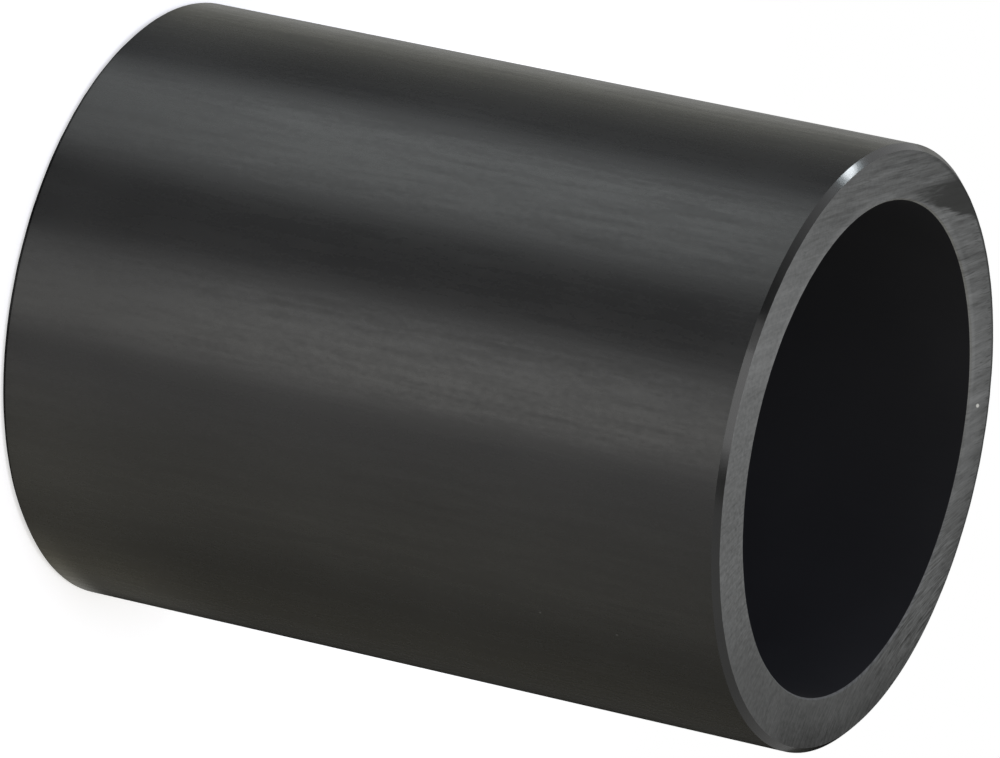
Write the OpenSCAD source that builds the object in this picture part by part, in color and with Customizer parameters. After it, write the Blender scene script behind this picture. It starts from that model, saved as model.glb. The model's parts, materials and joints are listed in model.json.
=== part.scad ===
// Pipe nipple: a short plain-ended tube of rigid plastic, cut from extruded pipe, which joins two
// pipe sockets end to end. One half goes into each socket until the sockets almost meet.
// It stands on one end: the axis runs along +Z and the origin is the centre of the lower end face.

/* [Tube] */
// Outer diameter, the nominal size of the pipe and of the sockets it goes into
outer_d = 50; // [32:0.5:110]
// Thickness of the wall
wall_t = 4.6; // [2:0.1:8]

/* [Length] */
// Depth of the socket that takes each half
socket_depth = 31; // [16:0.5:70]
// Gap left between the mouths of the two sockets
socket_gap = 3.5; // [1:0.5:12]

/* [Cut ends] */
// Width of the bevel on each outer edge, measured along the radius
bevel_w = 0.5; // [0.2:0.05:1.2]
// Angle between the bevel and the axis
bevel_angle = 45; // [15:1:60]
// Width of the break that the knife leaves on each edge of the bore
mouth_break = 0.15; // [0.05:0.05:0.5]

/* [Hidden] */

// Number of facets round the tube
round_fn = 180;

// Sizes that follow from the ones above
outer_r = outer_d / 2;
bore_r = outer_r - wall_t;
tube_len = 2 * socket_depth + socket_gap;
half_len = tube_len / 2;
bevel_len = bevel_w / tan(bevel_angle);

// Corners of the upper cut end in the wall's section, radius first and then height above the middle:
// foot and top of the bevel, then the flat end face, then the broken edge of the bore
upper_end = [
    [outer_r, half_len - bevel_len],
    [outer_r - bevel_w, half_len],
    [bore_r + mouth_break, half_len],
    [bore_r, half_len - mouth_break]
];

// The lower end is cut and bevelled alike, so its corners are the same ones, mirrored and in reverse
lower_end = [for (i = [len(upper_end) - 1 : -1 : 0]) [upper_end[i].x, -upper_end[i].y]];

// Section of the wall, standing on the height of the lower end face
module wall_section() {
    translate([0, half_len]) polygon(concat(upper_end, lower_end));
}

// The nipple is that section turned once round the axis
module nipple() {
    color("dimgray") rotate_extrude($fn = round_fn) wall_section();
}

nipple();
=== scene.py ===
"""The looks of a plain-ended pipe nipple: a short tube of dark grey rigid plastic, sawn from extruded pipe.

The tube stands on one end, along +Z, and everything is in metres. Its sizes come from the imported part.
"""
from functools import cached_property
import json
import math

import bpy
from bpy.props import FloatProperty, FloatVectorProperty, IntProperty, PointerProperty
from mathutils import Matrix, Vector


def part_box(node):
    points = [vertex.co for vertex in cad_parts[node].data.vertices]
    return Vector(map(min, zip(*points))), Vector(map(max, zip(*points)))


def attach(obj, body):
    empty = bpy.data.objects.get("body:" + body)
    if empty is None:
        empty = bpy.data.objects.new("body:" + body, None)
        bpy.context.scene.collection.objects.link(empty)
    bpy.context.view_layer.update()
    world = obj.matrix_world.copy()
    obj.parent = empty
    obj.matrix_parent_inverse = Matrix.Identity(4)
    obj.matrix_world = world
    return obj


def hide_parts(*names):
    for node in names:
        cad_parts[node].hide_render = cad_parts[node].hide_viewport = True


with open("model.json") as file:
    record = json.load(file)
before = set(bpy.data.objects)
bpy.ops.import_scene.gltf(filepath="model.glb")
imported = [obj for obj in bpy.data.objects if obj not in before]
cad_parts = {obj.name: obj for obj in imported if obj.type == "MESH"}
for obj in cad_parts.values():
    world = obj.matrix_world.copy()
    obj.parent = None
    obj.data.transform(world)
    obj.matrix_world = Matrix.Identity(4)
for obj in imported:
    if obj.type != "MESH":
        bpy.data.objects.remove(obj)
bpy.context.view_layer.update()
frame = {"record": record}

bl_info = {
    "name": "Pipe Nipple",
    "version": (1, 0, 0),
    "blender": (4, 5, 0),
    "location": "3D View > Sidebar > Nipple",
    "description": "Makes a sawn plastic pipe nipple and the stage that it is shown on",
    "category": "Add Mesh",
}

MM = 0.001

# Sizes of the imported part. Its two round mounts are the outside between the bevels and the bore
# between its broken edges, so what they leave of the length is the bevels and the breaks.
MOUNTS = {mount["name"]: mount["dims"] for mount in frame["record"]["mounts"]}
FOOT, TOP = (corner.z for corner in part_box("nipple"))
TUBE_LENGTH = TOP - FOOT
OUTER_RADIUS = MOUNTS["spigot"]["r_mm"] * MM
BORE_RADIUS = MOUNTS["bore"]["r_mm"] * MM
BEVEL = (TUBE_LENGTH - MOUNTS["spigot"]["length_mm"] * MM) / 2
MOUTH_BREAK = (TUBE_LENGTH - MOUNTS["bore"]["length_mm"] * MM) / 2
SEGMENTS = 720


# Settings that a user would change

def length(name, description, default, **more):
    return FloatProperty(name=name, description=description, default=default,
                         unit="LENGTH", subtype="DISTANCE", precision=5, **more)


def colour(name, description, default):
    return FloatVectorProperty(name=name, description=description, default=default,
                               subtype="COLOR", size=3, min=0, max=1)


def share(name, description, default):
    return FloatProperty(name=name, description=description, default=default,
                         subtype="FACTOR", min=0, max=1)


class NippleSizes(bpy.types.PropertyGroup):
    """Sizes of the tube and of the relief that extruding and sawing leave on it"""
    outer_radius: length("Outer radius", "Radius of the barrel", OUTER_RADIUS)
    bore_radius: length("Bore radius", "Radius of the bore", BORE_RADIUS)
    tube_length: length("Length", "Length from one sawn end to the other", TUBE_LENGTH)
    bevel: length("Bevel", "Width and depth of the bevel on each outer edge", BEVEL)
    mouth_break: length("Mouth break", "Width of the break on each edge of the bore", MOUTH_BREAK)
    segments: IntProperty(name="Segments", description="Faces round the tube", default=SEGMENTS, min=48)
    saw_relief: length("Saw relief", "Depth of the ridges that the saw leaves", 0.02 * MM)
    draw_relief: length("Draw relief", "Depth of the lengthwise waves on the barrel", 0.012 * MM)


class NippleFinish(bpy.types.PropertyGroup):
    """Colours and gloss of the four kinds of surface"""
    skin_colour: colour("Skin", "Plastic of the barrel as extruded", (0.0188, 0.0189, 0.0192))
    bore_colour: colour("Bore", "Plastic inside the bore", (0.0232, 0.0236, 0.0295))
    edge_colour: colour("Cut edge", "Plastic shaved by the deburring knife", (0.0120, 0.0122, 0.0126))
    sawn_colour: colour("Sawn face", "Plastic where the saw frosted it most", (0.163, 0.166, 0.176))
    # Dark end of the frost, and the colour of the painted shade on the sawn face: the dark wedge and the dark
    # rim
    burnished_colour: colour("Burnished patch", "Sawn face where the blade rubbed it dark",
                             (0.020, 0.0205, 0.021))
    skin_roughness: share("Skin roughness", "Roughness of the barrel", 0.28)
    edge_roughness: share("Edge roughness", "Roughness of the shaved bevel", 0.145)
    sawn_roughness: share("Sawn roughness", "Roughness of the sawn faces", 0.72)


class NippleStage(bpy.types.PropertyGroup):
    """Camera and light"""
    camera_distance: length("Camera distance", "From the camera to the middle of the tube", 0.8494)
    camera_height: FloatProperty(name="Camera elevation", description="How far the camera looks down",
                                 default=math.radians(25.9), subtype="ANGLE")
    camera_roll: FloatProperty(name="Camera roll", description="Turn that lays the tube on its side",
                               default=math.radians(102.18), subtype="ANGLE")
    camera_aside: length("Camera aside", "How far beside the axis the camera looks", 0.00054)
    lens: FloatProperty(name="Lens", description="Focal length", default=374.06, subtype="DISTANCE_CAMERA")
    floor_colour: colour("Floor", "Pale floor", (0.80, 0.80, 0.90))
    fill: FloatProperty(name="Fill", description="Strength of the even light from all round",
                        default=0.8, min=0)


# Helpers for node trees

def feed(tree, socket, value):
    """Gives a socket its value, or links it to the socket that is given instead."""
    if isinstance(value, bpy.types.NodeSocket):
        tree.links.new(value, socket)
    else:
        socket.default_value = value


def add(tree, kind, inputs=None, **settings):
    """A new node with its settings and with what its inputs are fed."""
    node = tree.nodes.new(kind)
    for name, value in settings.items():
        setattr(node, name, value)
    for name, value in (inputs or {}).items():
        feed(tree, node.inputs[name], value)
    return node


def calc(tree, operation, *values):
    """A Math node's result."""
    return add(tree, "ShaderNodeMath", dict(enumerate(values)), operation=operation).outputs[0]


def total(tree, *values):
    """The sum of values and sockets."""
    result = values[0]
    for value in values[1:]:
        result = calc(tree, "ADD", result, value)
    return result


def vector_calc(tree, operation, *values, out="Vector"):
    """A Vector Math node's result."""
    return add(tree, "ShaderNodeVectorMath", dict(enumerate(values)), operation=operation).outputs[out]


def dot(tree, first, second):
    """Dot product of two vectors."""
    return vector_calc(tree, "DOT_PRODUCT", first, second, out="Value")


def vector_length(tree, vector):
    """Length of a vector."""
    return vector_calc(tree, "LENGTH", vector, out="Value")


def flattened(tree, place):
    """The place brought down to the plane of X and Y."""
    return vector_calc(tree, "MULTIPLY", place, (1, 1, 0))


def parts_of(tree, vector):
    """X, Y and Z of a vector."""
    return add(tree, "ShaderNodeSeparateXYZ", {0: vector}).outputs


def remap(tree, value, from_range, to_range=(0.0, 1.0), smooth=True):
    """Value moved from one range to another, clamped."""
    kind = "SMOOTHSTEP" if smooth else "LINEAR"
    limits = dict(zip(("From Min", "From Max", "To Min", "To Max"), (*from_range, *to_range)))
    return add(tree, "ShaderNodeMapRange", {"Value": value, **limits}, interpolation_type=kind).outputs[0]


def mix_values(tree, factor, first, second):
    """Value between two values or sockets."""
    return add(tree, "ShaderNodeMix", {0: factor, 2: first, 3: second}).outputs[0]


def mix_colours(tree, factor, first, second):
    """Colour between two colours or colour sockets."""
    first, second = (value if isinstance(value, bpy.types.NodeSocket) else (*value, 1)
                     for value in (first, second))
    return add(tree, "ShaderNodeMix", {0: factor, 6: first, 7: second}, data_type="RGBA").outputs[2]


def new_tree(name, kind, sockets_in, sockets_out):
    """An empty node group with named sockets, given as (name, socket type, default)."""
    tree = bpy.data.node_groups.new(name, kind)
    for in_out, sockets in (("INPUT", sockets_in), ("OUTPUT", sockets_out)):
        for socket_name, socket_type, default in sockets:
            socket = tree.interface.new_socket(socket_name, in_out=in_out, socket_type=socket_type)
            if default is not None:
                socket.default_value = default
    return tree, add(tree, "NodeGroupInput").outputs, add(tree, "NodeGroupOutput").inputs


def spread_out(tree):
    """Places each node to the right of the nodes that feed it, so that the tree can be read."""
    depth = {}

    def depth_of(node):
        if node not in depth:
            feeds = {link.from_node for socket in node.inputs for link in socket.links}
            depth[node] = 1 + max(map(depth_of, feeds), default=-1)
        return depth[node]

    rows = {}
    for node in tree.nodes:
        column = depth_of(node)
        rows[column] = rows.get(column, -1) + 1
        node.location = (240 * column, -260 * rows[column])


# Geometry of the tube

BARREL_ROWS, BEVEL_ROWS, FACE_ROWS, MOUTH_ROWS, BORE_ROWS = 32, 2, 20, 1, 24
SHARP_ANGLE = math.radians(20)
# How far a face's normal leans to the axis, from 0 on a wall to 1 on an end face
WALL_BELOW, END_ABOVE = 0.3, 0.9
# Noise of the relief: along a saw mark, across it and by height, then along X, Y and Z
RIDGE_FREQUENCY = (120, 260, 100)
WAVE_FREQUENCY = (260, 260, 8)
NOISE_RANGE = (0.3, 0.7)
# A length that tells a point on a surface from one just off it
HAIR = 1e-6
# Form of the saw marks, as saw_path gives it
MARK_LEAN, MARK_BEND = 2.3, 42.5


def tube_tree(skin, bore, edge, sawn):
    """Node group that turns the wall's section round the axis and gives each zone its material."""
    tree, given, result = new_tree("Turned Tube", "GeometryNodeTree", [
        ("Outer Radius", "NodeSocketFloat", OUTER_RADIUS),
        ("Bore Radius", "NodeSocketFloat", BORE_RADIUS),
        ("Length", "NodeSocketFloat", TUBE_LENGTH),
        ("Bevel", "NodeSocketFloat", BEVEL),
        ("Mouth Break", "NodeSocketFloat", MOUTH_BREAK),
        ("Segments", "NodeSocketInt", SEGMENTS),
        ("Saw Relief", "NodeSocketFloat", 0.0),
        ("Draw Relief", "NodeSocketFloat", 0.0),
        ("Seed", "NodeSocketFloat", 3.0),
    ], [("Geometry", "NodeSocketGeometry", None)])
    shape = roughen(tree, turned_wall(tree, given), given)

    # Smooth all over, with a sharp edge wherever two zones meet
    angle = add(tree, "GeometryNodeInputMeshEdgeAngle").outputs["Unsigned Angle"]
    soft_edge = calc(tree, "LESS_THAN", angle, SHARP_ANGLE)
    for domain, smooth in (("FACE", True), ("EDGE", soft_edge)):
        shape = add(tree, "GeometryNodeSetShadeSmooth", {0: shape, "Shade Smooth": smooth},
                    domain=domain).outputs[0]
    shape = add(tree, "GeometryNodeRealizeInstances", {0: shape}).outputs[0]

    walls, bore_wall, bevels = zones(tree, given)
    for material, selection in ((sawn, True), (skin, walls), (bore, bore_wall), (edge, bevels)):
        shape = add(tree, "GeometryNodeSetMaterial",
                    {0: shape, "Selection": selection, "Material": material}).outputs[0]
    tree.links.new(shape, result["Geometry"])
    spread_out(tree)
    return tree


def turned_wall(tree, given):
    """The wall's section, turned once round the axis."""
    # Corners of the section, down the outside and up the bore, and the rows of faces after each
    face_outer = calc(tree, "SUBTRACT", given["Outer Radius"], given["Bevel"])
    face_inner = calc(tree, "ADD", given["Bore Radius"], given["Mouth Break"])
    corners = (
        (given["Outer Radius"], calc(tree, "SUBTRACT", given["Length"], given["Bevel"]), BARREL_ROWS),
        (given["Outer Radius"], given["Bevel"], BEVEL_ROWS),
        (face_outer, 0.0, FACE_ROWS),
        (face_inner, 0.0, MOUTH_ROWS),
        (given["Bore Radius"], given["Mouth Break"], BORE_ROWS),
        (given["Bore Radius"], calc(tree, "SUBTRACT", given["Length"], given["Mouth Break"]), MOUTH_ROWS),
        (face_inner, given["Length"], FACE_ROWS),
        (face_outer, given["Length"], BEVEL_ROWS),
    )
    index = add(tree, "GeometryNodeInputIndex").outputs[0]
    places = add(tree, "GeometryNodeIndexSwitch", {"Index": index}, data_type="VECTOR")
    cuts = add(tree, "GeometryNodeIndexSwitch", {"Index": index}, data_type="INT")
    for number, (radius, height, rows) in enumerate(corners):
        if number >= len(places.index_switch_items):
            places.index_switch_items.new()
            cuts.index_switch_items.new()
        # Curve to Mesh puts a section's x outwards from the circle and its y downwards
        across = calc(tree, "SUBTRACT", radius, given["Outer Radius"])
        down = calc(tree, "MULTIPLY", height, -1.0)
        corner = add(tree, "ShaderNodeCombineXYZ", {"X": across, "Y": down}).outputs[0]
        tree.links.new(corner, places.inputs[str(number)])
        cuts.inputs[str(number)].default_value = rows - 1
    points = add(tree, "GeometryNodePoints", {"Count": len(corners), "Position": places.outputs[0]})
    outline = add(tree, "GeometryNodePointsToCurves", {"Points": points.outputs[0]})
    section = add(tree, "GeometryNodeSetSplineCyclic", {"Geometry": outline.outputs[0], "Cyclic": True})
    section = add(tree, "GeometryNodeSubdivideCurve", {"Curve": section.outputs[0], "Cuts": cuts.outputs[0]})
    circle = add(tree, "GeometryNodeCurvePrimitiveCircle",
                 {"Resolution": given["Segments"], "Radius": given["Outer Radius"]})
    return add(tree, "GeometryNodeCurveToMesh",
               {"Curve": circle.outputs[0], "Profile Curve": section.outputs[0]}).outputs[0]


def zones(tree, given):
    """Selections of both walls, of the bore's wall and of the bevels, told apart by the way that a face
    looks and by its side of the wall."""
    normal = add(tree, "GeometryNodeInputNormal").outputs[0]
    tilt = calc(tree, "ABSOLUTE", dot(tree, normal, (0, 0, 1)))
    middle = calc(tree, "MULTIPLY", calc(tree, "ADD", given["Outer Radius"], given["Bore Radius"]), 0.5)
    inner = calc(tree, "LESS_THAN", distance_from_axis(tree), middle)
    outer = calc(tree, "SUBTRACT", 1.0, inner)
    upright = calc(tree, "LESS_THAN", tilt, WALL_BELOW)
    slanting = calc(tree, "SUBTRACT", calc(tree, "LESS_THAN", tilt, END_ABOVE), upright)
    return upright, calc(tree, "MULTIPLY", upright, inner), calc(tree, "MULTIPLY", slanting, outer)


def distance_from_axis(tree):
    """Distance of the current element from the Z axis."""
    position = add(tree, "GeometryNodeInputPosition").outputs[0]
    return vector_length(tree, flattened(tree, position))


def roughen(tree, mesh, given):
    """Sinks the sawn faces into ridges and ripples the barrel and the bore, always into the wall."""
    position = add(tree, "GeometryNodeInputPosition").outputs[0]
    height = parts_of(tree, position)["Z"]
    seed = add(tree, "ShaderNodeCombineXYZ", {"Z": given["Seed"]}).outputs[0]
    radius = distance_from_axis(tree)

    # Ridges: noise drawn out along the saw marks
    marks_at = vector_calc(tree, "MULTIPLY", saw_path(tree, position), RIDGE_FREQUENCY)
    marks_at = vector_calc(tree, "ADD", marks_at, seed)
    ridges = add(tree, "ShaderNodeTexNoise", {"Vector": marks_at, "Scale": 1.0, "Detail": 1.0}).outputs[0]
    depth = calc(tree, "MULTIPLY", remap(tree, ridges, NOISE_RANGE, smooth=False), given["Saw Relief"])
    on_top = calc(tree, "GREATER_THAN", height, calc(tree, "SUBTRACT", given["Length"], HAIR))
    on_foot = calc(tree, "LESS_THAN", height, HAIR)
    sink = calc(tree, "MULTIPLY", depth, calc(tree, "SUBTRACT", on_foot, on_top))

    # Ripples: waves round the tube that hardly change along it
    round_at = vector_calc(tree, "ADD", vector_calc(tree, "MULTIPLY", position, WAVE_FREQUENCY), seed)
    waves = add(tree, "ShaderNodeTexNoise", {"Vector": round_at, "Scale": 1.0, "Detail": 1.0}).outputs[0]
    ripple = calc(tree, "MULTIPLY", remap(tree, waves, NOISE_RANGE, smooth=False), given["Draw Relief"])
    on_barrel = calc(tree, "GREATER_THAN", radius, calc(tree, "SUBTRACT", given["Outer Radius"], HAIR))
    on_bore = calc(tree, "LESS_THAN", radius, calc(tree, "ADD", given["Bore Radius"], HAIR))
    ripple = calc(tree, "MULTIPLY", ripple, calc(tree, "SUBTRACT", on_bore, on_barrel))
    outwards = vector_calc(tree, "NORMALIZE", flattened(tree, position))
    push = add(tree, "ShaderNodeVectorMath", {"Vector": outwards, "Scale": ripple},
               operation="SCALE").outputs[0]

    offset = vector_calc(tree, "ADD", push, add(tree, "ShaderNodeCombineXYZ", {"Z": sink}).outputs[0])
    return add(tree, "GeometryNodeSetPosition", {0: mesh, "Offset": offset}).outputs[0]


def saw_path(tree, place):
    """Place told by saw marks: how far along a mark, which mark, and the height.

    The blade was round, so its marks run nearly along Y on the side that faces -X and turn towards X on
    the other side: y = lean * v + bend * v * v, where v is the distance towards -X.
    """
    parts = parts_of(tree, place)
    square = calc(tree, "MULTIPLY", parts["X"], parts["X"])
    mark = calc(tree, "MULTIPLY_ADD", parts["X"], MARK_LEAN, parts["Y"])
    mark = calc(tree, "MULTIPLY_ADD", square, -MARK_BEND, mark)
    along = calc(tree, "SUBTRACT", parts["Y"], parts["X"])
    return add(tree, "ShaderNodeCombineXYZ", {"X": along, "Y": mark, "Z": parts["Z"]}).outputs[0]


# Finishes

def grain_group():
    """Fine scratches or lines: noise drawn out along the axis with the lowest frequency."""
    tree, given, result = new_tree("Drawn Grain", "ShaderNodeTree", [
        ("Vector", "NodeSocketVector", None),
        ("Frequency", "NodeSocketVector", (5000, 5000, 250)),
        ("Seed", "NodeSocketFloat", 0.0),
        ("Detail", "NodeSocketFloat", 3.0),
    ], [("Grain", "NodeSocketFloat", None)])
    stretched = vector_calc(tree, "MULTIPLY", given["Vector"], given["Frequency"])
    noise = add(tree, "ShaderNodeTexNoise",
                {"Vector": stretched, "W": given["Seed"], "Scale": 1.0, "Detail": given["Detail"],
                 "Roughness": 0.6}, noise_dimensions="4D").outputs[0]
    tree.links.new(remap(tree, noise, (0.15, 0.85), smooth=False), result["Grain"])
    spread_out(tree)
    return tree


def cloud_group():
    """Slow, even cloudiness, for colour and gloss that are never quite the same all over."""
    tree, given, result = new_tree("Cloud", "ShaderNodeTree", [
        ("Vector", "NodeSocketVector", None),
        ("Frequency", "NodeSocketFloat", 120.0),
        ("Seed", "NodeSocketFloat", 0.0),
    ], [("Cloud", "NodeSocketFloat", None)])
    noise = add(tree, "ShaderNodeTexNoise",
                {"Vector": given["Vector"], "W": given["Seed"], "Scale": given["Frequency"], "Detail": 4.0},
                noise_dimensions="4D").outputs[0]
    tree.links.new(remap(tree, noise, (0.3, 0.7)), result["Cloud"])
    spread_out(tree)
    return tree


def speck_group():
    """Scattered small specks, such as dust and pinholes."""
    tree, given, result = new_tree("Specks", "ShaderNodeTree", [
        ("Vector", "NodeSocketVector", None),
        ("Spacing", "NodeSocketFloat", 2.5 * MM),
        ("Size", "NodeSocketFloat", 0.08),
        ("Share", "NodeSocketFloat", 0.3),
    ], [("Specks", "NodeSocketFloat", None)])
    cells = add(tree, "ShaderNodeTexVoronoi",
                {"Vector": given["Vector"], "Scale": calc(tree, "DIVIDE", 1.0, given["Spacing"])})
    near = calc(tree, "LESS_THAN", cells.outputs["Distance"], given["Size"])
    chosen = add(tree, "ShaderNodeSeparateColor", {0: cells.outputs["Color"]}).outputs[0]
    chosen = calc(tree, "LESS_THAN", chosen, given["Share"])
    tree.links.new(calc(tree, "MULTIPLY", near, chosen), result["Specks"])
    spread_out(tree)
    return tree


class Finish:
    """One material being built: its tree, its Principled shader and its place on the tube."""

    def __init__(self, name):
        self.material = bpy.data.materials.new(name)
        self.material.use_nodes = True
        self.tree = self.material.node_tree
        self.tree.nodes.clear()
        self.shader = add(self.tree, "ShaderNodeBsdfPrincipled")
        add(self.tree, "ShaderNodeOutputMaterial", {"Surface": self.shader.outputs[0]})
        self.place = add(self.tree, "ShaderNodeTexCoord").outputs["Object"]

    # Parts of the place, whose nodes are made on first use

    @cached_property
    def parts(self):
        return parts_of(self.tree, self.place)

    @cached_property
    def flat(self):
        return flattened(self.tree, self.place)

    @cached_property
    def radius(self):
        return vector_length(self.tree, self.flat)

    @cached_property
    def outwards(self):
        return vector_calc(self.tree, "NORMALIZE", self.flat)

    def effect(self, group, **values):
        """Result of a shared node group at this place, with its own values."""
        inputs = {"Vector": self.place, **{name.capitalize(): value for name, value in values.items()}}
        return add(self.tree, "ShaderNodeGroup", inputs, node_tree=group).outputs[0]

    def bump(self, height, depth):
        """Normal of a surface with this height, depth in metres."""
        inputs = {"Height": height, "Distance": depth, "Strength": 1.0}
        return add(self.tree, "ShaderNodeBump", inputs).outputs[0]

    def finish(self, **inputs):
        """Sets the shader's inputs and hands over the material."""
        names = {"color": "Base Color", "roughness": "Roughness", "normal": "Normal",
                 "ior": "IOR", "specular": "Specular IOR Level"}
        for name, value in inputs.items():
            feed(self.tree, self.shader.inputs[names[name]], value)
        spread_out(self.tree)
        return self.material


def scaled(plain_colour, factor):
    """A colour, lighter or darker by a factor."""
    return tuple(factor * channel for channel in plain_colour)


# Side of the barrel where the lines are painted with more contrast, as painted light for the sheen that shows
# them
STREAK_CONTRAST_WAY = (-0.14, -0.99, 0)


def skin_material(finish, grain, cloud, specks):
    """Barrel as extruded: satin, with fine lines along it and faint bands where the haul-off gripped."""
    skin = Finish("extruded_skin")
    tree = skin.tree
    fine = skin.effect(grain, frequency=(2700, 2700, 1400), seed=1.0, detail=2.0)
    broad = skin.effect(grain, frequency=(1250, 1250, 120), seed=2.0, detail=2.0)
    bands = skin.effect(grain, frequency=(25, 25, 150), seed=3.0, detail=1.0)
    tone = skin.effect(cloud, frequency=90.0, seed=4.0)
    dust = skin.effect(specks, spacing=3.0 * MM, size=0.03, share=0.25)
    lines = calc(tree, "MULTIPLY_ADD", broad, 0.6, calc(tree, "MULTIPLY", fine, 0.4))
    # The lines are painted with more contrast on the side that faces -Y and less towards the sides, as
    # painted light for the sheen that shows them there
    painted_streak_contrast = remap(tree, dot(tree, skin.outwards, STREAK_CONTRAST_WAY), (0.25, 1.0), (0.5, 1.3), smooth=False)
    lines = calc(tree, "MULTIPLY_ADD", calc(tree, "SUBTRACT", lines, 0.5), painted_streak_contrast, 0.5)
    shade = calc(tree, "MULTIPLY_ADD", calc(tree, "SUBTRACT", tone, 0.5), 0.2, lines)
    base = mix_colours(tree, shade, scaled(finish.skin_colour, 0.7), scaled(finish.skin_colour, 1.3))
    base = mix_colours(tree, dust, base, scaled(finish.skin_colour, 4.0))
    # A paler line is a smoother one
    gloss = calc(tree, "MULTIPLY_ADD", lines, -0.34, finish.skin_roughness + 0.135)
    gloss = calc(tree, "MULTIPLY_ADD", bands, 0.04, gloss)
    gloss = calc(tree, "MULTIPLY_ADD", tone, 0.03, gloss)
    return skin.finish(color=base, roughness=gloss, normal=skin.bump(lines, 0.004 * MM), ior=1.53)


def bore_material(finish, grain, cloud):
    """Bore as extruded: the same plastic, deep in shade, with painted shade that makes it a little darker
    towards both mouths.
    """
    bore = Finish("extruded_bore")
    tree = bore.tree
    lines = bore.effect(grain, frequency=(3500, 3500, 200), seed=5.0, detail=2.0)
    tone = bore.effect(cloud, frequency=70.0, seed=6.0)
    base = mix_colours(tree, tone, scaled(finish.bore_colour, 0.9), scaled(finish.bore_colour, 1.1))
    base = mix_colours(tree, calc(tree, "MULTIPLY", lines, 0.2), base, scaled(finish.bore_colour, 1.6))
    # Painted shade: the bore is darkened towards both mouths, where more light falls in
    off_middle = calc(tree, "ABSOLUTE", calc(tree, "SUBTRACT", bore.parts["Z"], TUBE_LENGTH / 2))
    painted_mouth_shade = remap(tree, off_middle, (13 * MM, 32 * MM), (0.0, 0.35))
    base = mix_colours(tree, painted_mouth_shade, base, scaled(finish.bore_colour, 0.25))
    gloss = calc(tree, "MULTIPLY_ADD", tone, 0.06, 0.5)
    return bore.finish(color=base, roughness=gloss, normal=bore.bump(lines, 0.0015 * MM), ior=1.53,
                       specular=0.25)


def edge_material(finish, grain, cloud):
    """Bevel, shaved by the deburring knife: deeper and glossier than the skin."""
    edge = Finish("shaved_edge")
    tree = edge.tree
    chatter = edge.effect(grain, frequency=(900, 900, 900), seed=7.0, detail=2.0)
    tone = edge.effect(cloud, frequency=150.0, seed=8.0)
    base = mix_colours(tree, tone, scaled(finish.edge_colour, 0.85), scaled(finish.edge_colour, 1.15))
    gloss = calc(tree, "MULTIPLY_ADD", tone, 0.08, finish.edge_roughness - 0.04)
    return edge.finish(color=base, roughness=gloss, normal=edge.bump(chatter, 0.0025 * MM), ior=1.53)


PLAIN_FROST = 0.46
# What the saw and the handling left on the face, and where light and shade are painted on it: ways across it,
# then places on it
OUTER_SHADE_WAY = (0.6, 0.8, 0)
RIM_SHADE_WAY = (-0.5, 0.87, 0)
STROKE_X = -9 * MM
SMEAR_X = -19.3 * MM
PATCH_MARK = -68.6 * MM
PATCH_CUT = -20.5 * MM
CHIP_PLACE = (-5.6 * MM, 21.5 * MM, TUBE_LENGTH)
CHIP_COLOUR = (0.5, 0.5, 0.5)


def sawn_material(finish, grain, cloud):
    """Sawn face: frosted, with fine curved marks and a chip at the edge, and with painted light and shade: a
    dark wedge, a dark rim, a lighter side and a pale line along the mouth.
    """
    sawn = Finish("sawn_face")
    tree = sawn.tree
    path = saw_path(tree, sawn.place)
    fine = sawn.effect(grain, vector=path, frequency=(350, 1500, 900), seed=11.0, detail=3.0)
    broad = sawn.effect(grain, vector=path, frequency=(90, 450, 900), seed=12.0, detail=1.0)
    close = sawn.effect(grain, vector=path, frequency=(350, 3200, 900), seed=13.0, detail=2.0)
    tone = sawn.effect(cloud, frequency=110.0, seed=14.0)

    # Marks lie closer together towards +X
    spread = remap(tree, sawn.parts["X"], (-4 * MM, 10 * MM))
    marks = calc(tree, "MULTIPLY", calc(tree, "ADD", broad, fine), 0.5)
    marks = mix_values(tree, spread, marks, close)

    # The saw frosted the face and left a paler stroke straight across; on top of the frost, painted light and
    # shade make the face lightest towards -Y and darkest towards +X
    squares = vector_calc(tree, "MULTIPLY", sawn.place, sawn.place)
    off_stroke = calc(tree, "ABSOLUTE", calc(tree, "SUBTRACT", sawn.parts["X"], STROKE_X))
    frost_and_painted_light = total(
        tree, PLAIN_FROST,
        # Painted light and shade: lighter towards -Y, darker towards +X
        dot(tree, squares, (-270, 270, 0)),
        dot(tree, sawn.place, (-3.8, -3.8, 0)),
        saw_texture(sawn, path, marks, broad, grain),
        calc(tree, "MULTIPLY_ADD", tone, 0.10, -0.05),
        remap(tree, off_stroke, (8 * MM, 2 * MM), (0.0, 0.12)),
        # Painted shade on the outer third of the face, towards +X and +Y
        calc(tree, "MULTIPLY", worn_rim(sawn), -0.14),
        calc(tree, "MULTIPLY", pale_smear(sawn), 0.14),
        # Painted highlight along the mouth of the bore
        mouth_line(sawn),
    )
    base = mix_colours(tree, frost_and_painted_light, finish.burnished_colour[:], finish.sawn_colour[:])

    patch = rubbed_patch(sawn, path, fine, grain)
    # Painted shade: the dark rim and the dark wedge take the dark sawn colour
    for rubbed in (torn_rim(sawn, fine), patch):
        base = mix_colours(tree, rubbed, base, finish.burnished_colour[:])
    base = mix_colours(tree, chip(sawn), base, CHIP_COLOUR)
    gloss = calc(tree, "MULTIPLY_ADD", patch, 0.15, finish.sawn_roughness)
    gloss = calc(tree, "MULTIPLY_ADD", marks, 0.08, gloss)
    height = calc(tree, "MULTIPLY", marks, calc(tree, "MULTIPLY_ADD", patch, -0.6, 1.0))
    return sawn.finish(color=base, roughness=gloss, normal=sawn.bump(height, 0.02 * MM), ior=1.5,
                       specular=0.35)


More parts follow.
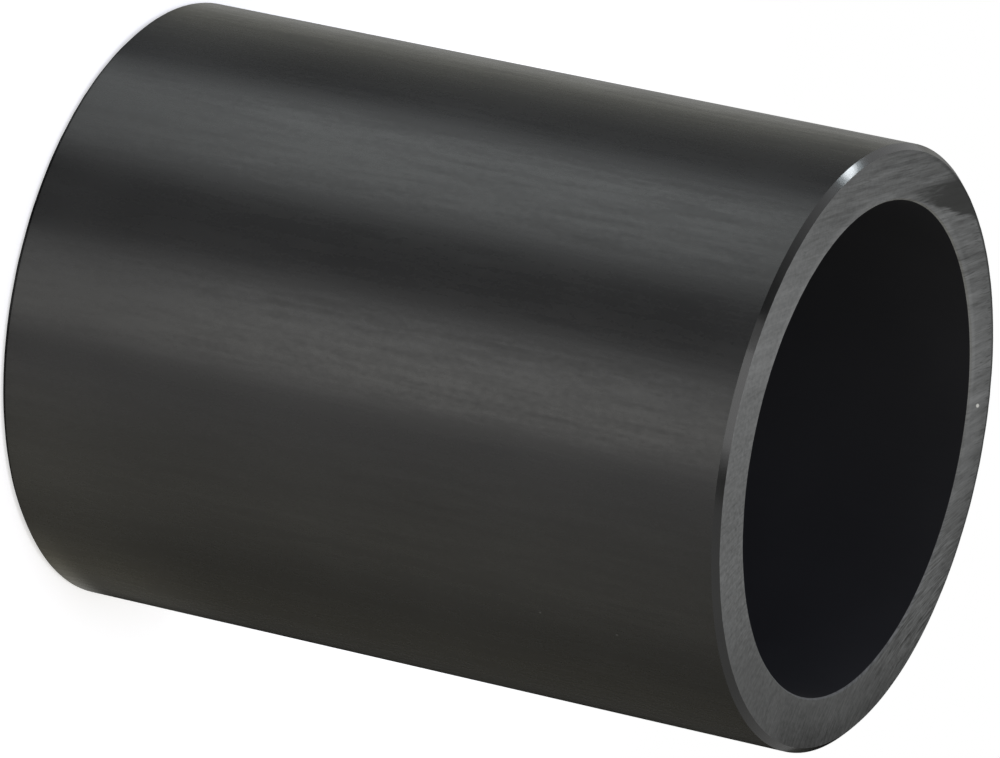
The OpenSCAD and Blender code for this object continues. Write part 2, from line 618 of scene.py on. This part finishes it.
def saw_texture(sawn, path, marks, broad, grain):
    """What the marks, the scratches and a short grain add to the frost or take from it."""
    tree = sawn.tree
    # Single scratches run where another grain crosses its middle value
    scratch = sawn.effect(grain, vector=path, frequency=(70, 700, 900), seed=17.0, detail=1.0)
    scratch = calc(tree, "ABSOLUTE", calc(tree, "SUBTRACT", scratch, 0.5))
    scratch = calc(tree, "MULTIPLY", remap(tree, scratch, (0.004, 0.022), (1.0, 0.0)),
                   remap(tree, broad, (0.44, 0.56)))
    streaks = calc(tree, "MULTIPLY_ADD", calc(tree, "SUBTRACT", marks, 0.5), 1.85,
                   calc(tree, "MULTIPLY", scratch, -0.36))
    # They are deepest towards +Y and -X, and where they are shallow the short grain shows instead
    bite = calc(tree, "ADD", dot(tree, sawn.place, (-7, 8, 0)), 0.53)
    frosting = sawn.effect(grain, frequency=(2400, 2400, 900), seed=16.0, detail=2.0)
    frosting = calc(tree, "MULTIPLY", calc(tree, "SUBTRACT", frosting, 0.5),
                    calc(tree, "MULTIPLY_ADD", bite, -1.15, 0.95))
    # Both fade out towards +X
    return calc(tree, "MULTIPLY", calc(tree, "MULTIPLY_ADD", streaks, bite, frosting),
                remap(tree, sawn.parts["X"], (13 * MM, 20 * MM), (1.0, 0.52)))


def worn_rim(sawn):
    """Mask of painted shade on the outer third of the face, on the side that faces +X and +Y."""
    tree = sawn.tree
    rim = remap(tree, sawn.radius, (OUTER_RADIUS - 3 * MM, OUTER_RADIUS - MM))
    return calc(tree, "MULTIPLY", rim, remap(tree, dot(tree, sawn.flat, OUTER_SHADE_WAY), (9 * MM, 19 * MM)))


def mouth_line(sawn):
    """Painted highlight along the mouth of the bore, most on the side that faces -X, and brightest on its
    broken edge.
    """
    tree = sawn.tree
    strength = remap(tree, sawn.parts["X"], (4 * MM, -14 * MM), (0.04, 0.18))
    line = remap(tree, sawn.radius, (BORE_RADIUS + 0.9 * MM, BORE_RADIUS + 0.4 * MM))
    edge_highlight = remap(tree, sawn.radius, (BORE_RADIUS + 0.18 * MM, BORE_RADIUS + 0.12 * MM), (0.0, 0.18))
    return calc(tree, "MULTIPLY_ADD", line, strength, edge_highlight)


def on_upper_face(sawn, mask):
    """The mask on the upper end only."""
    upper = calc(sawn.tree, "GREATER_THAN", sawn.parts["Z"], TUBE_LENGTH / 2)
    return calc(sawn.tree, "MULTIPLY", mask, upper)


def pale_smear(sawn):
    """Mask of the pale stroke beside the painted dark wedge, on the upper face."""
    tree = sawn.tree
    aside = calc(tree, "ABSOLUTE", calc(tree, "SUBTRACT", sawn.parts["X"], SMEAR_X))
    mask = calc(tree, "MULTIPLY", remap(tree, aside, (2.2 * MM, 0.6 * MM)),
                remap(tree, sawn.parts["Y"], (3 * MM, 9 * MM)))
    return on_upper_face(sawn, mask)


def torn_rim(sawn, marks):
    """Mask of painted shade along the outer rim: a dark line, with ragged teeth along the marks."""
    tree = sawn.tree
    side = remap(tree, dot(tree, sawn.outwards, RIM_SHADE_WAY), (0.40, 0.88))
    line = remap(tree, sawn.radius, (OUTER_RADIUS - 0.90 * MM, OUTER_RADIUS - 0.68 * MM), (0.0, 0.85))
    teeth = calc(tree, "MULTIPLY", remap(tree, marks, (0.5, 0.68), (0.0, 0.8)),
                 remap(tree, sawn.radius, (OUTER_RADIUS - 3.2 * MM, OUTER_RADIUS - 0.6 * MM)))
    shade_on_rim = calc(tree, "MAXIMUM", line, teeth)
    return on_upper_face(sawn, calc(tree, "MULTIPLY", shade_on_rim, side))


def rubbed_patch(sawn, path, marks, grain):
    """Mask of the painted shade on the upper face, a dark wedge: one side follows a mark, the other cuts the
    marks off.
    """
    tree = sawn.tree
    feather = sawn.effect(grain, vector=path, frequency=(90, 700, 0), seed=15.0, detail=2.0)
    feather = calc(tree, "SUBTRACT", feather, 0.5)

    # The side along a mark is ragged at the narrow end and clean at the wide one
    ragged = remap(tree, sawn.parts["Y"], (-3 * MM, 6 * MM), (15.0 * MM, 2.6 * MM))
    past_mark = calc(tree, "SUBTRACT", parts_of(tree, path)["Y"], PATCH_MARK)
    past_mark = calc(tree, "MULTIPLY_ADD", feather, ragged, past_mark)
    # The side that cuts them off runs straight along Y, with short teeth
    past_cut = calc(tree, "SUBTRACT", PATCH_CUT, sawn.parts["X"])
    past_cut = calc(tree, "MULTIPLY_ADD", feather, 0.9 * MM, past_cut)
    mask = calc(tree, "MULTIPLY", remap(tree, past_mark, (-0.8 * MM, 1.4 * MM)),
                remap(tree, past_cut, (-0.12 * MM, 0.20 * MM)))
    # The narrow end frays out along the marks
    frayed = calc(tree, "MULTIPLY_ADD", calc(tree, "SUBTRACT", marks, 0.5), 14 * MM, sawn.parts["Y"])
    mask = calc(tree, "MULTIPLY", mask, remap(tree, frayed, (-2 * MM, 5.5 * MM), (0.15, 0.90)))
    return on_upper_face(sawn, mask)


def chip(sawn):
    """Mask of a small pale chip near the edge of the upper face."""
    tree = sawn.tree
    offset = vector_calc(tree, "SUBTRACT", sawn.place, CHIP_PLACE)
    stretched = vector_calc(tree, "MULTIPLY", offset, (2.0, 1.0, 1.0))
    return remap(tree, vector_length(tree, stretched), (0.40 * MM, 0.20 * MM))


class NIPPLE_OT_make_tube(bpy.types.Operator):
    """Makes the tube from its sizes and gives it its four finishes"""
    bl_idname = "nipple.make_tube"
    bl_label = "Make Tube"

    def execute(self, context):
        sizes, finish = context.scene.nipple_sizes, context.scene.nipple_finish
        grain, cloud, specks = grain_group(), cloud_group(), speck_group()
        tree = tube_tree(
            skin=skin_material(finish, grain, cloud, specks),
            bore=bore_material(finish, grain, cloud),
            edge=edge_material(finish, grain, cloud),
            sawn=sawn_material(finish, grain, cloud),
        )
        tube = bpy.data.objects.new("plain_tube", bpy.data.meshes.new("plain_tube_start"))
        context.scene.collection.objects.link(tube)
        rule = tube.modifiers.new("Turned Tube", "NODES")
        rule.node_group = tree
        values = {
            "Outer Radius": sizes.outer_radius, "Bore Radius": sizes.bore_radius,
            "Length": sizes.tube_length, "Bevel": sizes.bevel, "Mouth Break": sizes.mouth_break,
            "Segments": sizes.segments, "Saw Relief": sizes.saw_relief,
            "Draw Relief": sizes.draw_relief,
        }
        for item in tree.interface.items_tree:
            if item.name in values:
                rule[item.identifier] = values[item.name]
        depsgraph = context.evaluated_depsgraph_get()
        tube.data = bpy.data.meshes.new_from_object(tube.evaluated_get(depsgraph), depsgraph=depsgraph)
        tube.data.name = "plain_tube"
        tube.modifiers.remove(rule)
        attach(tube, "root")
        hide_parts("nipple")
        return {"FINISHED"}


# Stage

FLOOR_HALF = 4.0
# Glow that makes the lit floor white to the camera, and the distances over which it turns plain white
FLOOR_LIFT = 0.52
PLAIN_WHITE_FROM = (0.04, 0.12)
# Slope of a line of sight that the barrel has mirrored down to the floor: height lost per length
SIGHT_SLOPE = 0.485
MIRROR_STEPS = 3


def mirror_angle(tree, place, distance, radius):
    """Angle round the barrel, in degrees from -Y towards -X, at which the camera sees this place mirrored."""
    parts = parts_of(tree, place)
    compass = calc(tree, "ARCTAN2", calc(tree, "MULTIPLY", parts["X"], -1.0),
                   calc(tree, "MULTIPLY", parts["Y"], -1.0))
    # A mirrored ray leaves the barrel at twice the angle, so the angle is found in a few steps
    nearness = calc(tree, "DIVIDE", radius, distance)
    angle = calc(tree, "DIVIDE", compass, calc(tree, "SUBTRACT", 2.0, nearness))
    for step in range(MIRROR_STEPS):
        swing = calc(tree, "ARCSINE", calc(tree, "MULTIPLY", calc(tree, "SINE", angle), nearness))
        angle = calc(tree, "MULTIPLY", calc(tree, "ADD", compass, swing), 0.5)
    return calc(tree, "DEGREES", angle)


def mirror_height(tree, angle, distance, radius):
    """Height on the barrel at which the camera sees the floor mirrored, at this angle and distance."""
    turn = calc(tree, "RADIANS", angle)
    across = calc(tree, "MULTIPLY", calc(tree, "SINE", turn), radius)
    square = calc(tree, "MULTIPLY", distance, distance)
    reach = calc(tree, "SUBTRACT", square, calc(tree, "MULTIPLY", across, across))
    reach = calc(tree, "SUBTRACT", calc(tree, "SQRT", reach),
                 calc(tree, "MULTIPLY", calc(tree, "COSINE", turn), radius))
    return calc(tree, "MULTIPLY", reach, SIGHT_SLOPE)


# Light panels by the angles round the barrel at which they are mirrored, in degrees: centre, half width,
# softness and strength
UPPER_BAND = (36.3, 10.6, 10.5, 1.49)
MIDDLE_BAND = (-1.1, 8.7, 8.0, 1.36)
FOOT_FILL = (-6, 72, 20, 0.10)
FOOT_GLEAM = (-84, 20, 34, 0.33)
WIDE_PANELS = (
    (-32, 12.3, 20, 0.29),
    (-10.4, 13, 14, 0.30),
    (5, 80, 56, 0.13),
    (80.2, 9.7, 31, 0.493),
)
STRAY_GLOW = 0.01
# Tints of the panels, from the lower side of the barrel (0) to the upper one (1): warm below the middle
# of the picture and cool above it
TINTS = (
    (0.03, (1.0, 0.99, 0.95)),
    (0.14, (1.0, 0.94, 0.74)),
    (0.34, (1.0, 0.97, 0.86)),
    (0.42, (1.0, 0.98, 0.97)),
    (0.47, (1.0, 0.99, 0.95)),
    (0.56, (0.99, 1.0, 1.0)),
    (0.68, (0.96, 1.0, 0.99)),
    (0.78, (0.95, 0.99, 1.0)),
    (0.89, (1.0, 1.0, 0.88)),
    (0.97, (1.0, 1.0, 0.98)),
)


def panel_glow(tree, angle, panel):
    """Glow of a light panel at an angle round the barrel."""
    centre, half_width, softness, strength = panel
    aside = calc(tree, "ABSOLUTE", calc(tree, "SUBTRACT", angle, centre))
    return remap(tree, aside, (half_width + softness / 2, half_width - softness / 2), (0.0, strength))


def floor_glow(tree, place, distance, radius):
    """Tint and strength of the light panels that the barrel mirrors as bands along it."""
    angle = mirror_angle(tree, place, distance, radius)
    height = mirror_height(tree, angle, distance, radius)
    upper_band = calc(tree, "MULTIPLY", panel_glow(tree, angle, UPPER_BAND),
                      remap(tree, distance, (radius, 2.6 * radius), (0.62, 1.0)))
    middle_band = calc(tree, "MULTIPLY", panel_glow(tree, angle, MIDDLE_BAND),
                       remap(tree, distance, (radius, 3.6 * radius), (0.50, 1.0)))
    foot_fill = calc(tree, "MULTIPLY", panel_glow(tree, angle, FOOT_FILL),
                     remap(tree, distance, (1.2 * radius, 2.0 * radius), (1.0, 0.0)))
    foot_gleam = calc(tree, "MULTIPLY", panel_glow(tree, angle, FOOT_GLEAM),
                      remap(tree, height, (0.8 * MM, 3.4 * MM), (1.0, 0.0)))
    wide = [panel_glow(tree, angle, panel) for panel in WIDE_PANELS]
    glow = total(tree, STRAY_GLOW, upper_band, middle_band, foot_fill, *wide)
    # The lower outline is dark, but for the gleam at the foot
    glow = calc(tree, "MULTIPLY_ADD", glow, remap(tree, angle, (-85, -79.5)), foot_gleam)
    # The floor is dark where the foot meets it, and dimmer in a ring beyond the panels
    ring = calc(tree, "ADD", remap(tree, distance, (6.0 * radius, 7.6 * radius), (1.0, 0.62)),
                remap(tree, distance, (11 * radius, 22 * radius), (0.0, 0.26)))
    reach = calc(tree, "MULTIPLY", remap(tree, height, (0.0, 0.5 * MM), (0.05, 1.0)), ring)

    ramp = add(tree, "ShaderNodeValToRGB", {0: calc(tree, "MULTIPLY_ADD", angle, 1 / 180, 0.5)})
    while len(ramp.color_ramp.elements) < len(TINTS):
        ramp.color_ramp.elements.new(0.5)
    for element, (position, tint) in zip(ramp.color_ramp.elements, TINTS):
        element.position = position
        element.color = (*tint, 1)
    return ramp.outputs[0], calc(tree, "MULTIPLY", glow, reach)


def floor_material(stage, sizes):
    """Pale floor: white to the camera with the tube's soft shadow, and light panels in reflections."""
    material = bpy.data.materials.new("studio_floor")
    material.use_nodes = True
    material.cycles.emission_sampling = "NONE"
    tree = material.node_tree
    tree.nodes.clear()
    rays = add(tree, "ShaderNodeLightPath").outputs
    place = add(tree, "ShaderNodeTexCoord").outputs["Object"]
    distance = calc(tree, "MAXIMUM", vector_length(tree, place), sizes.outer_radius)

    lit = add(tree, "ShaderNodeBsdfDiffuse", {"Color": (*stage.floor_colour, 1)}).outputs[0]
    lift = add(tree, "ShaderNodeEmission", {"Strength": FLOOR_LIFT}).outputs[0]
    shown = add(tree, "ShaderNodeAddShader", {0: lit, 1: lift}).outputs[0]
    white = add(tree, "ShaderNodeEmission", {"Strength": 1.0}).outputs[0]
    far = remap(tree, distance, PLAIN_WHITE_FROM)
    shown = add(tree, "ShaderNodeMixShader", {0: far, 1: shown, 2: white}).outputs[0]
    tint, glow = floor_glow(tree, place, distance, sizes.outer_radius)
    mirrored = add(tree, "ShaderNodeEmission", {"Color": tint, "Strength": glow}).outputs[0]

    surface = add(tree, "ShaderNodeMixShader", {0: rays["Is Camera Ray"], 1: lit, 2: shown}).outputs[0]
    surface = add(tree, "ShaderNodeMixShader", {0: rays["Is Glossy Ray"], 1: surface, 2: mirrored}).outputs[0]
    add(tree, "ShaderNodeOutputMaterial", {"Surface": surface})
    spread_out(tree)
    return material


WHITE = (1.0, 1.0, 1.0)
# The fill is a little warmer from +X
COOL_FILL = (0.97, 1.0, 1.05)
WARM_FILL = (1.0, 0.96, 0.75)


def make_world(stage):
    """Even fill light, white to the camera. Reflections see a pale backdrop behind the tube, a dark
    side towards -X and a dim one towards +X."""
    world = bpy.data.worlds.new("studio")
    world.use_nodes = True
    tree = world.node_tree
    tree.nodes.clear()
    rays = add(tree, "ShaderNodeLightPath").outputs
    compass = add(tree, "ShaderNodeTexCoord").outputs["Generated"]
    way = parts_of(tree, compass)
    backdrop = remap(tree, way["Y"], (-0.35, 0.34), (0.0, 0.8))
    backdrop = calc(tree, "MULTIPLY", backdrop, remap(tree, way["X"], (0.02, 0.22), (1.0, 0.0)))
    dim_side = calc(tree, "MULTIPLY", remap(tree, way["X"], (0.27, 0.36), (0.0, 0.55)),
                    remap(tree, way["Y"], (0.1, 0.45), (1.0, 0.76)))
    mirrored = calc(tree, "MAXIMUM", backdrop, dim_side)
    strength = mix_values(tree, rays["Is Glossy Ray"], stage.fill, mirrored)
    strength = mix_values(tree, rays["Is Camera Ray"], strength, 1.0)
    seen = calc(tree, "MAXIMUM", rays["Is Camera Ray"], rays["Is Glossy Ray"])
    warmth = remap(tree, way["X"], (-0.5, 0.7))
    tint = mix_colours(tree, seen, mix_colours(tree, warmth, COOL_FILL, WARM_FILL), WHITE)
    background = add(tree, "ShaderNodeBackground", {"Color": tint, "Strength": strength})
    add(tree, "ShaderNodeOutputWorld", {"Surface": background.outputs[0]})
    spread_out(tree)
    return world


EDGE_LAMP_WAY = (-0.771, 0.440, 0.461)
# Name, direction, distance, diameter, power in watts and tint
LAMPS = (
    ("overhead_panel", (-0.068, -0.41, 0.908), 0.60, 0.300, 0.29, WHITE),
    ("overhead_halo", (-0.160, -0.41, 0.898), 0.62, 0.375, 0.30, WHITE),
    ("edge_lamp", EDGE_LAMP_WAY, 0.70, 0.08, 0.22, (0.92, 0.96, 1.0)),
    ("edge_lamp_halo", EDGE_LAMP_WAY, 0.72, 0.16, 0.13, (0.75, 0.92, 1.0)),
)


def add_lamp(scene, name, way, distance, size, power, tint):
    """Round area lamp that looks at the middle of the tube from a direction."""
    data = bpy.data.lights.new(name, "AREA")
    data.shape = "DISK"
    data.size = size
    data.energy = power
    data.color = tint
    lamp = bpy.data.objects.new(name, data)
    way = Vector(way).normalized()
    lamp.location = Vector((0, 0, TUBE_LENGTH / 2)) + distance * way
    lamp.rotation_euler = way.to_track_quat("Z", "Y").to_euler()
    lamp.visible_camera = False
    scene.collection.objects.link(lamp)


class NIPPLE_OT_set_stage(bpy.types.Operator):
    """Sets the floor, the lamps, the fill light and the camera"""
    bl_idname = "nipple.set_stage"
    bl_label = "Set Stage"

    def execute(self, context):
        scene, stage = context.scene, context.scene.nipple_stage
        corners = [(x * FLOOR_HALF, y * FLOOR_HALF, 0) for x, y in ((-1, -1), (1, -1), (1, 1), (-1, 1))]
        plane = bpy.data.meshes.new("studio_floor")
        plane.from_pydata(corners, [], [(0, 1, 2, 3)])
        plane.materials.append(floor_material(stage, scene.nipple_sizes))
        floor = bpy.data.objects.new("studio_floor", plane)
        scene.collection.objects.link(floor)
        scene.world = make_world(stage)
        for lamp in LAMPS:
            add_lamp(scene, *lamp)

        data = bpy.data.cameras.new("photo_camera")
        data.sensor_width, data.lens = 36, stage.lens
        data.clip_start, data.clip_end = 0.01, 20
        camera = bpy.data.objects.new("photo_camera", data)
        scene.collection.objects.link(camera)
        tilt = Matrix.Rotation(math.pi / 2 - stage.camera_height, 4, "X")
        roll = Matrix.Rotation(stage.camera_roll, 4, "Z")
        aim = Matrix.Translation((stage.camera_aside, 0, TUBE_LENGTH / 2))
        camera.matrix_world = aim @ tilt @ roll @ Matrix.Translation((0, 0, stage.camera_distance))
        scene.camera = camera
        scene.view_settings.view_transform = "Standard"
        return {"FINISHED"}


class NIPPLE_PT_panel(bpy.types.Panel):
    """Sizes, finishes, stage and the two operators"""
    bl_idname = "NIPPLE_PT_panel"
    bl_label = "Pipe Nipple"
    bl_space_type = "VIEW_3D"
    bl_region_type = "UI"
    bl_category = "Nipple"

    def draw(self, context):
        scene = context.scene
        for title, group, operator in (
            ("Sizes", scene.nipple_sizes, None),
            ("Finish", scene.nipple_finish, NIPPLE_OT_make_tube),
            ("Stage", scene.nipple_stage, NIPPLE_OT_set_stage),
        ):
            box = self.layout.box()
            box.label(text=title)
            for name in group.__annotations__:
                box.prop(group, name)
            if operator:
                box.operator(operator.bl_idname)


GROUPS = {"nipple_sizes": NippleSizes, "nipple_finish": NippleFinish, "nipple_stage": NippleStage}
CLASSES = (*GROUPS.values(), NIPPLE_OT_make_tube, NIPPLE_OT_set_stage, NIPPLE_PT_panel)


def register():
    for cls in CLASSES:
        bpy.utils.register_class(cls)
    for name, group in GROUPS.items():
        setattr(bpy.types.Scene, name, PointerProperty(type=group))


def unregister():
    for name in GROUPS:
        delattr(bpy.types.Scene, name)
    for cls in reversed(CLASSES):
        bpy.utils.unregister_class(cls)


def main():
    register()
    bpy.ops.nipple.make_tube()
    bpy.ops.nipple.set_stage()


if __name__ == "__main__":
    main()
